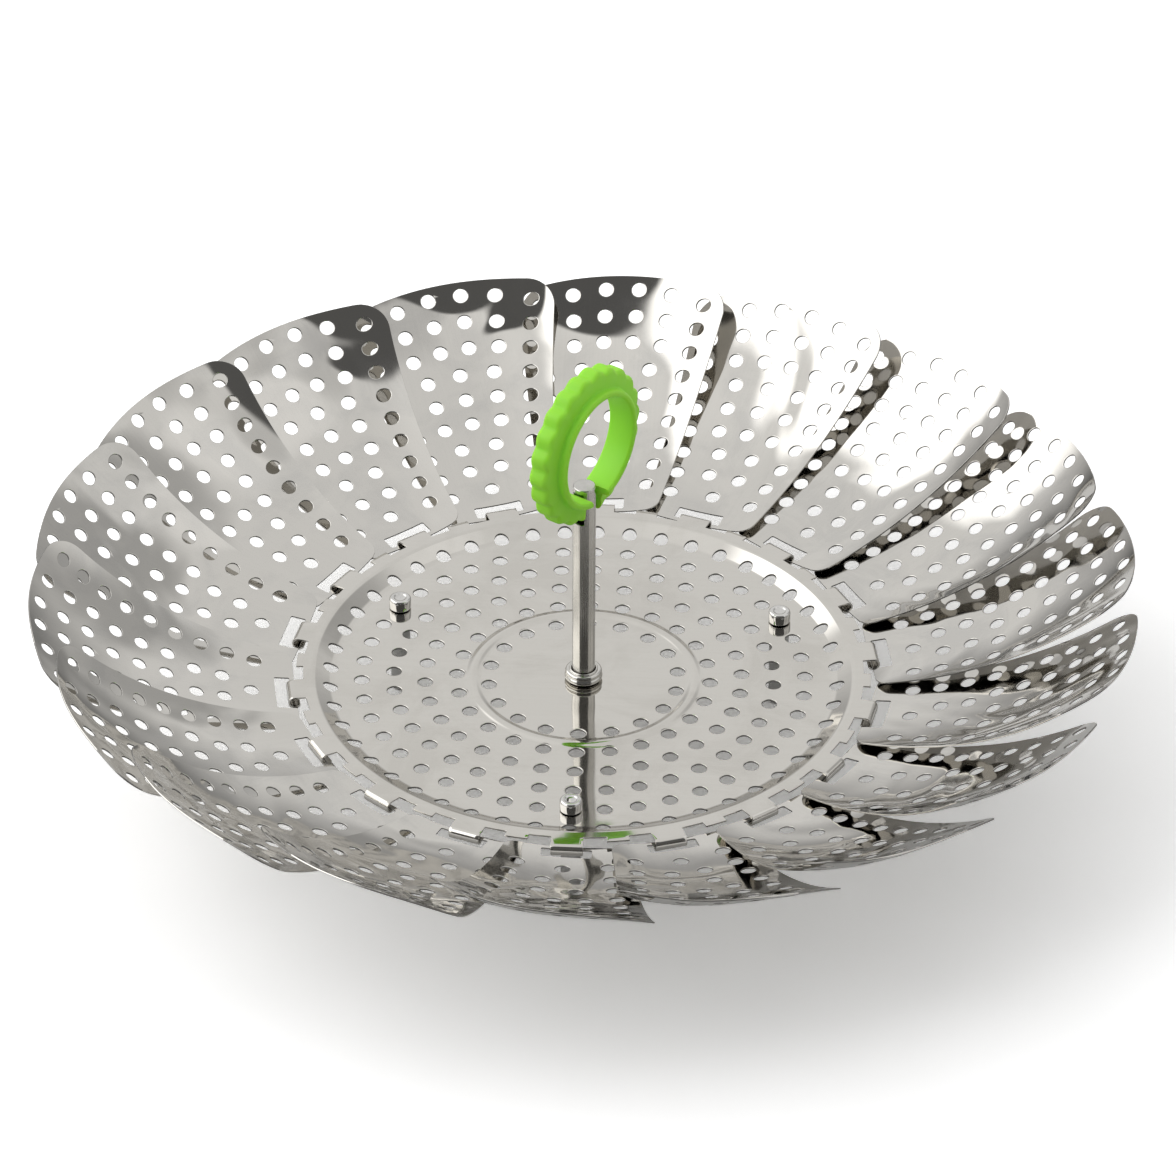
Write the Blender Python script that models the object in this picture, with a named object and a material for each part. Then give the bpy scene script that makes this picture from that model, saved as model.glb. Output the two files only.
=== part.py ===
"""A folding steamer basket, opened out: a perforated plate on three legs, eighteen overlapping
petals hinged to its tabs, and a telescoping centre post with a soft lifting ring."""

import math

import bmesh
import bpy
from mathutils import Matrix, Vector

# Clearance between pieces that touch or slide on each other
GAP = 0.0003

# Legs and the screws that hold them
LEG_COUNT = 3
LEG_LENGTH = 0.0237
LEG_DIAMETER = 0.0050
LEG_BORE_DEPTH = 0.0080
LEG_CHAMFER = 0.0005
SCREW_HEAD = 0.0056
SCREW_HEAD_HEIGHT = 0.0030
SCREW_HEAD_CHAMFER = 0.0004
SCREW_SHANK = 0.0024
SCREW_END_ROOM = 0.0017

# Base plate: a pressed disc of sheet, with a raised bead round its middle and a raised band at its
# rim, which is notched on both sides of each tab
SHEET = 0.0005
BEAD_RISE = 0.0006
BEAD_WIDTH = 0.0035
DISC_MARGIN = 0.00035
BEND_INSIDE = 0.0005
SLOPE_WIDTH = 0.0047
BAND_WIDTH = 0.0026
NOTCH_DEPTH = 0.0018
STEPS_BETWEEN_TABS = 3

# Holes of the plate: ring number n has six times n holes at n pitches from the centre
HOLE_DIAMETER = 0.0041
HOLE_PITCH = 0.008
FIRST_HOLE_RING = 3
LEG_HOLE_RING = 7
LAST_HOLE_RING = 8
HOLES_PER_RING_NUMBER = 6
HOLE_SIDES = 6

# Hinge tabs of the plate, curled round the petals' root strips
HINGE_RISE = 0.0009
TAB_REACH = 0.0027
TAB_HALF_WIDTH = 0.0040
CURL_PLAY = 0.00055
CURL_ANGLE = math.radians(240)
CURL_STEPS = 6

# Petals: lengths along the sheet from the hinge line, half widths across it, and how far the tip
# leans to the clockwise side
PETAL_COUNT = 18
PETAL_SHEET = 0.0004
PETAL_LENGTH = 0.0736
ROOT_OVERLAP = 0.00204
PETAL_FLARE = 0.0144
PETAL_LEAN = 0.0032
ROOT_STRIP = 0.0006
SLOT_LENGTH = 0.0040
SLOT_PLAY = 0.00225
ROOT_CORNER = 0.0030
TIP_CORNER = 0.0075
TIP_ARC_DROP = 0.0050
ROOT_SLOPE = math.radians(6)
TIP_SLOPE = math.radians(44)
# Rise of the sheet off its middle line: a dish, a tilt and a twist, measured at the side mark
SIDE_MARK = 0.028
DISH = 0.0040
DISH_CHANGE = -0.0005
TILT = 0.0008
TILT_CHANGE = 0.0020
TWIST = 0.0026
TWIST_CHANGE = -0.0004
# The petal's grid: every other cell of its body is open, as its rows of fine holes are made plain
COLUMN_SHARES = (-1, -0.84, -0.62, -0.41, -0.14, 0.14, 0.41, 0.62, 0.84, 1)
SLOT_COLUMNS = (3, 6)
SLOT_ROW = 1
FIRST_OPEN_ROW = 3
BODY_ROW_SHARES = (0.09, 0.17, 0.27, 0.35, 0.45, 0.53, 0.63, 0.71, 0.81, 0.89, 1)

# Lift tube, which slides on the guide pin, and its window for the ring's neck
TUBE_OUTER = 0.0058
TUBE_WALL = 0.0004
TUBE_LENGTH = 0.0586
TUBE_CAP = 0.0009
TUBE_CRIMP_HEIGHT = 0.0015
TUBE_CHAMFER = 0.0003
TUBE_TRAVEL = 0.0350
WINDOW_LENGTH = 0.0092
NECK_DIAMETER = 0.0027
NECK_BELOW_TOP = 0.0054

# Guide pin, riveted through the plate over a washer
PIN_DIAMETER = 0.0034
PIN_HEAD_HEIGHT = 0.0025
PIN_TENON = 0.0022
RIVET_HEAD = 0.0044
RIVET_HEAD_HEIGHT = 0.0012
WASHER_OUTER = 0.0080
WASHER_HEIGHT = 0.0008

# Collar round the post's foot: two rolled rings, one on the other
COLLAR_WALL = 0.0016
COLLAR_HEIGHT = 0.0030
COLLAR_WAIST_DEPTH = 0.0006
COLLAR_ROUNDING = 0.0005

# Lift ring: its flat stands upright, and its neck lies in the tube's window
RING_TURN = math.radians(58)
RING_TUBE_CLEARANCE = 0.0004
NECK_IN_BODY = 0.0017
RING_CENTRE_RISE = 0.0176
RING_OUTER_RADIUS = 0.0208
RING_BODY_WIDTH = 0.0045
RING_LIP_WIDTH = 0.0023
RING_THICKNESS = 0.0052
LIP_RISE = 0.0026
FACE_DISH = 0.0008
RING_ROUNDING = 0.0009
LIP_ROUNDING = 0.0006
SCALLOP_DEPTH = 0.0008
SCALLOP_COUNT = 22
STEPS_PER_SCALLOP = 4

# Fineness of round pieces, and how near the axis points are made one
ROUND_STEPS = 18
SMALL_ROUND_STEPS = 12
MERGE = 0.00001
# How far a cutter stands out of what it cuts
CUT_MARGIN = 0.0020

# Heights that several pieces share
FLAT_TOP = LEG_LENGTH + GAP + SHEET
FLAT_UNDERSIDE = FLAT_TOP - SHEET
HINGE_HEIGHT = FLAT_TOP + HINGE_RISE
BAND_TOP = HINGE_HEIGHT + ROOT_STRIP + CURL_PLAY + SHEET
SEAT_HEIGHT = FLAT_TOP + GAP
CRIMP_TOP = SEAT_HEIGHT + TUBE_CRIMP_HEIGHT
TUBE_TOP = SEAT_HEIGHT + TUBE_LENGTH
CAP_UNDERSIDE = TUBE_TOP - TUBE_CAP
NECK_HEIGHT = TUBE_TOP - NECK_BELOW_TOP

# Radii of the plate from its centre out, set by its rings of holes
DISC_RADIUS = HOLE_PITCH * FIRST_HOLE_RING + HOLE_DIAMETER / 2 + DISC_MARGIN
BEAD_CREST_RADIUS = DISC_RADIUS + BEAD_WIDTH / 2
BEAD_RADIUS = DISC_RADIUS + BEAD_WIDTH
LEG_RING_RADIUS = HOLE_PITCH * LEG_HOLE_RING
BEND_RADIUS = HOLE_PITCH * LAST_HOLE_RING - BEND_INSIDE
CREST_RADIUS = BEND_RADIUS + SLOPE_WIDTH
RIM_RADIUS = CREST_RADIUS + BAND_WIDTH
HINGE_RADIUS = RIM_RADIUS + TAB_REACH

# Sizes that fit what passes through or slides in them
SCREW_HOLE = SCREW_SHANK + GAP * 2
CENTRE_HOLE = PIN_TENON + GAP * 2
TUBE_INNER = TUBE_OUTER - TUBE_WALL * 2
TUBE_CRIMP = PIN_DIAMETER + GAP * 2
PIN_HEAD = TUBE_INNER - GAP * 2
COLLAR_INNER = TUBE_OUTER + GAP * 2
WINDOW_WIDTH = NECK_DIAMETER + GAP * 2
RING_HALF_GAP = TUBE_OUTER / 2 + RING_TUBE_CLEARANCE
RING_STEP_RADIUS = RING_OUTER_RADIUS - RING_BODY_WIDTH

# The petal's share of the circle sets its width at the root
SECTOR = math.tau / PETAL_COUNT
ROOT_HALF_WIDTH = HINGE_RADIUS * math.tan(SECTOR / 2) + ROOT_OVERLAP
TIP_HALF_WIDTH = ROOT_HALF_WIDTH + PETAL_FLARE
SLOT_END = ROOT_STRIP + SLOT_LENGTH
SLOT_HALF_WIDTH = TAB_HALF_WIDTH + SLOT_PLAY

QUARTER_TURN = math.radians(90)


def clear_scene():
    for thing in list(bpy.data.objects):
        bpy.data.objects.remove(thing, do_unlink=True)


def make_material(name, colour, metallic, roughness):
    made = bpy.data.materials.new(name)
    made.use_nodes = True
    shader = made.node_tree.nodes["Principled BSDF"]
    shader.inputs["Base Color"].default_value = (*colour, 1)
    shader.inputs["Metallic"].default_value = metallic
    shader.inputs["Roughness"].default_value = roughness
    made.diffuse_color = (*colour, 1)
    return made


def add_object(name, mesh, look=None, place=(0, 0, 0), turn=0):
    thing = bpy.data.objects.new(name, mesh)
    thing.location = place
    thing.rotation_euler = (0, 0, turn)
    bpy.context.scene.collection.objects.link(thing)
    if look and not mesh.materials:
        mesh.materials.append(look)
    return thing


def mesh_of(name, shape, smooth):
    """The mesh that a bmesh holds, which is freed."""
    mesh = bpy.data.meshes.new(name)
    shape.to_mesh(mesh)
    shape.free()
    for face in mesh.polygons:
        face.use_smooth = smooth
    return mesh


def add_turned(name, profile, look, place=(0, 0, 0), closed=False):
    """A turned piece from its (radius, height) profile, which runs down its outer side."""
    shape = bmesh.new()
    points = [shape.verts.new((radius, 0, height)) for radius, height in profile]
    for start, end in zip(points, points[1:]):
        shape.edges.new((start, end))
    if closed:
        shape.edges.new((points[-1], points[0]))
    thing = add_object(name, mesh_of(name, shape, True), look, place)
    turning = thing.modifiers.new("Turning", "SCREW")
    turning.angle = math.tau
    turning.steps = ROUND_STEPS
    turning.render_steps = ROUND_STEPS
    turning.use_merge_vertices = True
    turning.merge_threshold = MERGE
    turning.use_smooth_shade = True
    return thing


def give_thickness(thing, thickness, offset):
    sheet = thing.modifiers.new("Sheet", "SOLIDIFY")
    sheet.thickness = thickness
    sheet.offset = offset
    sheet.use_even_offset = True


def add_boolean(thing, other, operation):
    step = thing.modifiers.new(operation.title(), "BOOLEAN")
    step.object = other
    step.operation = operation
    step.solver = "EXACT"
    other.hide_render = True
    other.display_type = "WIRE"


def polar(radius, angle, height):
    return Vector((radius * math.cos(angle), radius * math.sin(angle), height))


def petal_turn(index):
    """The turn about the upright axis of a petal and its tab. The first is on +Y, the rest clockwise."""
    return -SECTOR * index


# Base plate
def rim_angles():
    """Four angles for each sector. The first two are at the edges of its tab, the rest at the
    ends of the land between two notches."""
    tab_edge = math.asin(TAB_HALF_WIDTH / RIM_RADIUS)
    step = (SECTOR - tab_edge * 2) / STEPS_BETWEEN_TABS
    angles = []
    for index in range(PETAL_COUNT):
        middle = QUARTER_TURN + petal_turn(index)
        angles.append(middle + tab_edge)
        for count in range(STEPS_BETWEEN_TABS):
            angles.append(middle - tab_edge - step * count)
    return angles


def tab_rows(shape, middle):
    """Pairs of points across a tab, from the top of its curl to its end. The clockwise point is first."""
    outward = polar(1, middle, 0)
    aside = polar(1, middle + QUARTER_TURN, 0)
    curl_radius = BAND_TOP - HINGE_HEIGHT
    rows = []
    for count in range(CURL_STEPS + 1):
        angle = QUARTER_TURN - CURL_ANGLE * count / CURL_STEPS
        reach = HINGE_RADIUS + curl_radius * math.cos(angle)
        height = HINGE_HEIGHT + curl_radius * math.sin(angle)
        centre = outward * reach + Vector((0, 0, height))
        right = shape.verts.new(centre - aside * TAB_HALF_WIDTH)
        left = shape.verts.new(centre + aside * TAB_HALF_WIDTH)
        rows.append((right, left))
    return rows


def add_hole(shape, diameter, sides, radius, angle):
    height = (FLAT_UNDERSIDE + BAND_TOP) / 2
    place = Matrix.Translation(polar(radius, angle, height)) @ Matrix.Rotation(angle, 4, "Z")
    bmesh.ops.create_cone(
        shape,
        cap_ends=True,
        segments=sides,
        radius1=diameter / 2,
        radius2=diameter / 2,
        depth=BAND_TOP - FLAT_UNDERSIDE + CUT_MARGIN * 2,
        matrix=place,
    )


def leg_angles():
    return [QUARTER_TURN + math.tau * (index + 0.5) / LEG_COUNT for index in range(LEG_COUNT)]


def make_plate_cutter():
    """The plate's holes. On the legs' ring, three places hold the holes of the leg screws."""
    shape = bmesh.new()
    add_hole(shape, CENTRE_HOLE, SMALL_ROUND_STEPS, 0, 0)
    for angle in leg_angles():
        add_hole(shape, SCREW_HOLE, SMALL_ROUND_STEPS, LEG_RING_RADIUS, angle)
    for ring in range(FIRST_HOLE_RING, LAST_HOLE_RING + 1):
        count = HOLES_PER_RING_NUMBER * ring
        to_leg = count // (LEG_COUNT * 2)
        for index in range(count):
            leg_place = index % (to_leg * 2) == to_leg
            if ring == LEG_HOLE_RING and leg_place:
                continue
            angle = QUARTER_TURN + math.tau * index / count
            add_hole(shape, HOLE_DIAMETER, HOLE_SIDES, HOLE_PITCH * ring, angle)
    return add_object("plate_cutter", mesh_of("plate_cutter", shape, False))


def make_plate(look):
    angles = rim_angles()
    profile = (
        (DISC_RADIUS, FLAT_TOP),
        (BEAD_CREST_RADIUS, FLAT_TOP + BEAD_RISE),
        (BEAD_RADIUS, FLAT_TOP),
        (BEND_RADIUS, FLAT_TOP),
        (CREST_RADIUS, BAND_TOP),
        (RIM_RADIUS, BAND_TOP),
    )
    shape = bmesh.new()
    rings = []
    for radius, height in profile:
        rings.append([shape.verts.new(polar(radius, angle, height)) for angle in angles])
    shape.faces.new(reversed(rings[0]))
    for inner, outer in zip(rings, rings[1:]):
        for spot in range(len(angles)):
            shape.faces.new((inner[spot], outer[spot], outer[spot - 1], inner[spot - 1]))
    rim = rings[-1]
    per_sector = STEPS_BETWEEN_TABS + 1
    land_radius = RIM_RADIUS + NOTCH_DEPTH
    for index in range(PETAL_COUNT):
        left = rim[per_sector * index]
        right = rim[per_sector * index + 1]
        for next_right, next_left in tab_rows(shape, QUARTER_TURN + petal_turn(index)):
            shape.faces.new((right, next_right, next_left, left))
            right = next_right
            left = next_left
        land_end = per_sector * (index + 1) - 1
        ends = (land_end, land_end - 1)
        near, far = [shape.verts.new(polar(land_radius, angles[end], BAND_TOP)) for end in ends]
        shape.faces.new((rim[land_end], near, far, rim[land_end - 1]))
    plate = add_object("base_plate", mesh_of("base_plate", shape, False), look)
    give_thickness(plate, SHEET, -1)
    add_boolean(plate, make_plate_cutter(), "DIFFERENCE")


# Petals
def corner_drop(inside, radius):
    """How far a rounded corner falls back, at a distance from where its arc starts."""
    return radius - math.sqrt(radius**2 - inside**2)


def half_width(along):
    """Half the petal's width at a distance along the sheet from its hinge line."""
    taper = (TIP_HALF_WIDTH - ROOT_HALF_WIDTH) * max(along, 0) / PETAL_LENGTH
    inside = max(ROOT_CORNER - ROOT_STRIP - along, 0)
    return ROOT_HALF_WIDTH + taper - corner_drop(inside, ROOT_CORNER)


def petal_middle(along):
    """Where the petal's middle line lies across it, as it leans to one side."""
    return PETAL_LEAN * max(along, 0) / PETAL_LENGTH


def column_end(share):
    """Where a column of the petal's grid meets the curved tip or its corner."""
    across = abs(share) * TIP_HALF_WIDTH
    arc_drop = TIP_ARC_DROP * (across / SIDE_MARK) ** 2
    inside = max(across - TIP_HALF_WIDTH + TIP_CORNER, 0)
    return PETAL_LENGTH - arc_drop - corner_drop(inside, TIP_CORNER)


def petal_point(across, along):
    """A point of the petal's middle surface: X across it, Y outward and Z up from its hinge line."""
    share = max(along, 0) / PETAL_LENGTH
    side = (across - petal_middle(along)) / SIDE_MARK
    slope = ROOT_SLOPE + (TIP_SLOPE - ROOT_SLOPE) * share
    bend = PETAL_LENGTH / (TIP_SLOPE - ROOT_SLOPE)
    if along > 0:
        out = bend * (math.sin(slope) - math.sin(ROOT_SLOPE))
        up = bend * (math.cos(ROOT_SLOPE) - math.cos(slope))
    else:
        out = along * math.cos(slope)
        up = along * math.sin(slope)
    dish = (DISH + DISH_CHANGE * share) * side**2
    tilt = (TILT + TILT_CHANGE * share) * side
    twist = (TWIST + TWIST_CHANGE * share) * side**3
    rise = dish + tilt + twist
    return Vector((across, out - rise * math.sin(slope), up + rise * math.cos(slope)))


def petal_rows():
    """The petal's grid as rows of (across, along), from its root to its tip."""
    rows = []
    for along in (-ROOT_STRIP, ROOT_STRIP, SLOT_END):
        middle = petal_middle(along)
        row = [(middle + share * half_width(along), along) for share in COLUMN_SHARES]
        for column, side in zip(SLOT_COLUMNS, (-1, 1)):
            row[column] = (side * SLOT_HALF_WIDTH, along)
        rows.append(row)
    for row_share in BODY_ROW_SHARES:
        row = []
        for share in COLUMN_SHARES:
            along = SLOT_END + row_share * (column_end(share) - SLOT_END)
            row.append((petal_middle(along) + share * half_width(along), along))
        rows.append(row)
    return rows


def make_petal_mesh():
    shape = bmesh.new()
    grid = []
    for row in petal_rows():
        grid.append([shape.verts.new(petal_point(across, along)) for across, along in row])
    for number, (near, far) in enumerate(zip(grid, grid[1:])):
        for column in range(len(near) - 1):
            in_slot = number == SLOT_ROW and SLOT_COLUMNS[0] <= column < SLOT_COLUMNS[1]
            open_row = number >= FIRST_OPEN_ROW and (number - FIRST_OPEN_ROW) % 2 == 0
            if in_slot or (open_row and column % 2 == 1):
                continue
            shape.faces.new((near[column], near[column + 1], far[column + 1], far[column]))
    return mesh_of("petal", shape, True)


def make_petals(look):
    mesh = make_petal_mesh()
    for index in range(PETAL_COUNT):
        turn = petal_turn(index)
        place = polar(HINGE_RADIUS, QUARTER_TURN + turn, HINGE_HEIGHT)
        petal = add_object(f"petal_{index + 1:02d}", mesh, look, place, turn)
        give_thickness(petal, PETAL_SHEET, 0)


# Legs and their screws
def make_legs(leg_look, screw_look):
    leg_radius = LEG_DIAMETER / 2
    bore_bottom = LEG_LENGTH - LEG_BORE_DEPTH
    leg_profile = (
        (0, bore_bottom),
        (SCREW_HOLE / 2, bore_bottom),
        (SCREW_HOLE / 2, LEG_LENGTH),
        (leg_radius, LEG_LENGTH),
        (leg_radius, LEG_CHAMFER),
        (leg_radius - LEG_CHAMFER, 0),
        (0, 0),
    )
    head_radius = SCREW_HEAD / 2
    shank_radius = SCREW_SHANK / 2
    head_bottom = FLAT_TOP + GAP
    head_top = head_bottom + SCREW_HEAD_HEIGHT
    shank_bottom = bore_bottom + SCREW_END_ROOM
    screw_profile = (
        (0, head_top),
        (head_radius - SCREW_HEAD_CHAMFER, head_top),
        (head_radius, head_top - SCREW_HEAD_CHAMFER),
        (head_radius, head_bottom),
        (shank_radius, head_bottom),
        (shank_radius, shank_bottom),
        (0, shank_bottom),
    )
    for index, angle in enumerate(leg_angles()):
        place = polar(LEG_RING_RADIUS, angle, 0)
        add_turned(f"leg_{index + 1}", leg_profile, leg_look, place)
        add_turned(f"leg_screw_{index + 1}", screw_profile, screw_look, place)


# Post collar
def make_collar(look):
    inner = COLLAR_INNER / 2
    outer = inner + COLLAR_WALL
    middle = SEAT_HEIGHT + COLLAR_HEIGHT / 2
    top = SEAT_HEIGHT + COLLAR_HEIGHT
    profile = (
        (inner, top),
        (outer - COLLAR_ROUNDING, top),
        (outer, top - COLLAR_ROUNDING),
        (outer, middle + COLLAR_ROUNDING),
        (outer - COLLAR_WAIST_DEPTH, middle),
        (outer, middle - COLLAR_ROUNDING),
        (outer, SEAT_HEIGHT + COLLAR_ROUNDING),
        (outer - COLLAR_ROUNDING, SEAT_HEIGHT),
        (inner, SEAT_HEIGHT),
    )
    add_turned("post_collar", profile, look, closed=True)


# Guide pin and its washer
def make_guide_pin(pin_look, washer_look):
    head_bottom = CRIMP_TOP + TUBE_TRAVEL + GAP
    washer_top = FLAT_UNDERSIDE - GAP
    washer_bottom = washer_top - WASHER_HEIGHT
    rivet_top = washer_bottom - GAP
    rivet_bottom = rivet_top - RIVET_HEAD_HEIGHT
    profile = (
        (0, head_bottom + PIN_HEAD_HEIGHT),
        (PIN_HEAD / 2, head_bottom + PIN_HEAD_HEIGHT),
        (PIN_HEAD / 2, head_bottom),
        (PIN_DIAMETER / 2, head_bottom),
        (PIN_DIAMETER / 2, SEAT_HEIGHT),
        (PIN_TENON / 2, SEAT_HEIGHT),
        (PIN_TENON / 2, rivet_top),
        (RIVET_HEAD / 2, rivet_top),
        (RIVET_HEAD / 2, rivet_bottom),
        (0, rivet_bottom),
    )
    add_turned("guide_pin", profile, pin_look)
    washer_profile = (
        (CENTRE_HOLE / 2, washer_top),
        (WASHER_OUTER / 2, washer_top),
        (WASHER_OUTER / 2, washer_bottom),
        (CENTRE_HOLE / 2, washer_bottom),
    )
    add_turned("pin_washer", washer_profile, washer_look, closed=True)


# Lift tube: its crimped foot stops under the pin's head
def make_box_cutter(name, low, high, place=(0, 0, 0), turn=0):
    shape = bmesh.new()
    size = Matrix.Diagonal(high - low).to_4x4()
    bmesh.ops.create_cube(shape, size=1, matrix=Matrix.Translation((low + high) / 2) @ size)
    return add_object(name, mesh_of(name, shape, False), None, place, turn)


def make_lift_tube(look):
    outer = TUBE_OUTER / 2
    inner = TUBE_INNER / 2
    profile = (
        (0, TUBE_TOP),
        (outer - TUBE_CHAMFER, TUBE_TOP),
        (outer, TUBE_TOP - TUBE_CHAMFER),
        (outer, SEAT_HEIGHT),
        (TUBE_CRIMP / 2, SEAT_HEIGHT),
        (TUBE_CRIMP / 2, CRIMP_TOP),
        (inner, CRIMP_TOP),
        (inner, CAP_UNDERSIDE),
        (0, CAP_UNDERSIDE),
    )
    tube = add_turned("lift_tube", profile, look)
    window_top = CAP_UNDERSIDE - TUBE_CHAMFER
    low = Vector((-TUBE_OUTER, -WINDOW_WIDTH / 2, window_top - WINDOW_LENGTH))
    high = Vector((TUBE_OUTER, WINDOW_WIDTH / 2, window_top))
    add_boolean(tube, make_box_cutter("window_cutter", low, high, turn=RING_TURN), "DIFFERENCE")


# Lift ring: X lies along its neck and Y is square to its flat. The lip round its bore stands out
# on the -Y side, and the face between lip and edge is dished.
def make_ring_body():
    inner_radius = RING_STEP_RADIUS - RING_LIP_WIDTH
    back = RING_THICKNESS / 2
    front = -back
    lip_front = front - LIP_RISE
    outline = (
        (inner_radius, lip_front + LIP_ROUNDING),
        (inner_radius + LIP_ROUNDING, lip_front),
        (RING_STEP_RADIUS - LIP_ROUNDING, lip_front),
        (RING_STEP_RADIUS, lip_front + LIP_ROUNDING),
        (RING_STEP_RADIUS, front + FACE_DISH),
        (RING_OUTER_RADIUS - RING_ROUNDING, front),
        (RING_OUTER_RADIUS, front + RING_ROUNDING),
        (RING_OUTER_RADIUS, back - RING_ROUNDING),
        (RING_OUTER_RADIUS - RING_ROUNDING, back),
        (inner_radius + LIP_ROUNDING, back),
        (inner_radius, back - LIP_ROUNDING),
    )
    shape = bmesh.new()
    points = [shape.verts.new((radius, across, 0)) for radius, across in outline]
    edges = [shape.edges.new((points[index - 1], points[index])) for index in range(len(points))]
    bmesh.ops.spin(
        shape,
        geom=points + edges,
        cent=(0, 0, 0),
        axis=(0, 1, 0),
        angle=math.tau,
        steps=SCALLOP_COUNT * STEPS_PER_SCALLOP,
        use_merge=True,
    )
    for point in shape.verts:
        radius = math.hypot(point.co.x, point.co.z)
        if radius > RING_STEP_RADIUS + RING_ROUNDING:
            wave = 1 - math.cos(SCALLOP_COUNT * math.atan2(point.co.z, point.co.x))
            shrink = 1 - SCALLOP_DEPTH * wave / 2 / radius
            point.co.x *= shrink
            point.co.z *= shrink
    bmesh.ops.translate(shape, verts=shape.verts, vec=(0, 0, RING_CENTRE_RISE))
    bmesh.ops.recalc_face_normals(shape, faces=shape.faces)
    return mesh_of("lift_ring", shape, True)


def make_lift_ring(look):
    place = (0, 0, NECK_HEIGHT)
    ring = add_object("lift_ring", make_ring_body(), look, place, RING_TURN)
    drop = RING_CENTRE_RISE - RING_OUTER_RADIUS - CUT_MARGIN
    low = Vector((-RING_HALF_GAP, -RING_OUTER_RADIUS, drop))
    high = Vector((RING_HALF_GAP, RING_OUTER_RADIUS, RING_CENTRE_RISE))
    gap_cutter = make_box_cutter("gap_cutter", low, high, place, RING_TURN)
    add_boolean(ring, gap_cutter, "DIFFERENCE")
    shape = bmesh.new()
    bmesh.ops.create_cone(
        shape,
        cap_ends=True,
        segments=SMALL_ROUND_STEPS,
        radius1=NECK_DIAMETER / 2,
        radius2=NECK_DIAMETER / 2,
        depth=(RING_HALF_GAP + NECK_IN_BODY) * 2,
        matrix=Matrix.Rotation(QUARTER_TURN, 4, "Y"),
    )
    neck = add_object("ring_neck", mesh_of("ring_neck", shape, True), look, place, RING_TURN)
    add_boolean(ring, neck, "UNION")


clear_scene()
make_plate(make_material("plate_steel", (0.72, 0.70, 0.67), 1, 0.18))
make_petals(make_material("petal_steel", (0.74, 0.72, 0.69), 1, 0.15))
make_legs(
    make_material("leg_steel", (0.62, 0.62, 0.62), 1, 0.25),
    make_material("screw_steel", (0.75, 0.75, 0.74), 1, 0.2),
)
make_collar(make_material("collar_steel", (0.68, 0.67, 0.65), 1, 0.2))
make_guide_pin(
    make_material("pin_steel", (0.6, 0.6, 0.6), 1, 0.3),
    make_material("washer_steel", (0.65, 0.65, 0.64), 1, 0.3),
)
make_lift_tube(make_material("tube_steel", (0.7, 0.69, 0.67), 1, 0.22))
make_lift_ring(make_material("ring_silicone", (0.17, 0.64, 0.03), 0, 0.5))
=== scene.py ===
import math

import bmesh
import bpy
import numpy as np
from mathutils import Matrix, Vector


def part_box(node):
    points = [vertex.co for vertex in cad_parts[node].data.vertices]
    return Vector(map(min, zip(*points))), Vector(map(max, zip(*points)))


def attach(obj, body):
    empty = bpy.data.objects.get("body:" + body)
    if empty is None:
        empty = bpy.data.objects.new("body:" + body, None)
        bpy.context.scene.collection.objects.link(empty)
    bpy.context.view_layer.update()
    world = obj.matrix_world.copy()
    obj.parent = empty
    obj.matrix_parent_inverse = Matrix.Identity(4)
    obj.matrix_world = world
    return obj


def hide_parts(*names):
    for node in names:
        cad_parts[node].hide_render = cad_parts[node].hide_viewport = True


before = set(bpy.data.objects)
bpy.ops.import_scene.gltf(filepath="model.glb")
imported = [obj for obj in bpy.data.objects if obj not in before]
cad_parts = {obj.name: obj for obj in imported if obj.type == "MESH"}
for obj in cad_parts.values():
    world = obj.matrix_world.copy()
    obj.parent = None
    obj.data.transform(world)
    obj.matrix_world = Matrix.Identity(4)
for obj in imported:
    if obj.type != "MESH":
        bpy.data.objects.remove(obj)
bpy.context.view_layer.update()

# Base plate
# A disc pressed from half-millimetre stainless sheet: a raised bead stiffens its middle, its rim is
# raised, and eighteen tabs are curled down from the rim to hold the petals. Six rings of round
# holes are punched through it, which leaves a soft rolled edge above and a dull sheared wall. The
# holes' walls are also darkened in colour, as painted shade for the shade inside the holes.
FLAT_TOP = 0.0245
BAND_TOP = 0.02705
SHEET = 0.0005
BEAD_RADIUS = 0.0281
BEAD_HALF_WIDTH = 0.0024
BEAD_RISE = 0.0006
BEAD_STEPS = 16
PLATE_BORE_RADIUS = 0.0014
FLAT_EDGE = 0.0635
BAND_START = 0.0682
RIM_RADIUS = 0.0708
PLATE_PROFILE = [(PLATE_BORE_RADIUS, FLAT_TOP)]
for share in np.linspace(-1, 1, BEAD_STEPS + 1):
    rise = BEAD_RISE * (1 + math.cos(math.pi * share)) / 2
    PLATE_PROFILE.append((BEAD_RADIUS + BEAD_HALF_WIDTH * share, FLAT_TOP + rise))
PLATE_PROFILE += [
    (FLAT_EDGE, FLAT_TOP),
    (BAND_START, BAND_TOP),
    (RIM_RADIUS, BAND_TOP),
]
# Each bend's radius from the middle, and how far it reaches to both sides
PLATE_BENDS = ((FLAT_EDGE, 0.0009), (BAND_START, 0.0007))
BEND_STEPS = 6
LAND_RADIUS = 0.0726
TAB_HALF_WIDTH = 0.0040
HINGE_RADIUS = 0.0735
HINGE_HEIGHT = 0.0254
CURL_ANGLE = math.radians(240)
CURL_STEPS = 22
PETAL_COUNT = 18
SECTOR = math.tau / PETAL_COUNT
TAB_EDGE = math.asin(TAB_HALF_WIDTH / RIM_RADIUS)
LAND_EDGE = math.radians(7.76)
ANGLE_SLACK = 0.001
SHEET_ROUNDING = 0.00009
SHARP_EDGE = math.radians(60)
SMOOTHED_EDGE = math.radians(34)
MERGE = 0.00001


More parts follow.
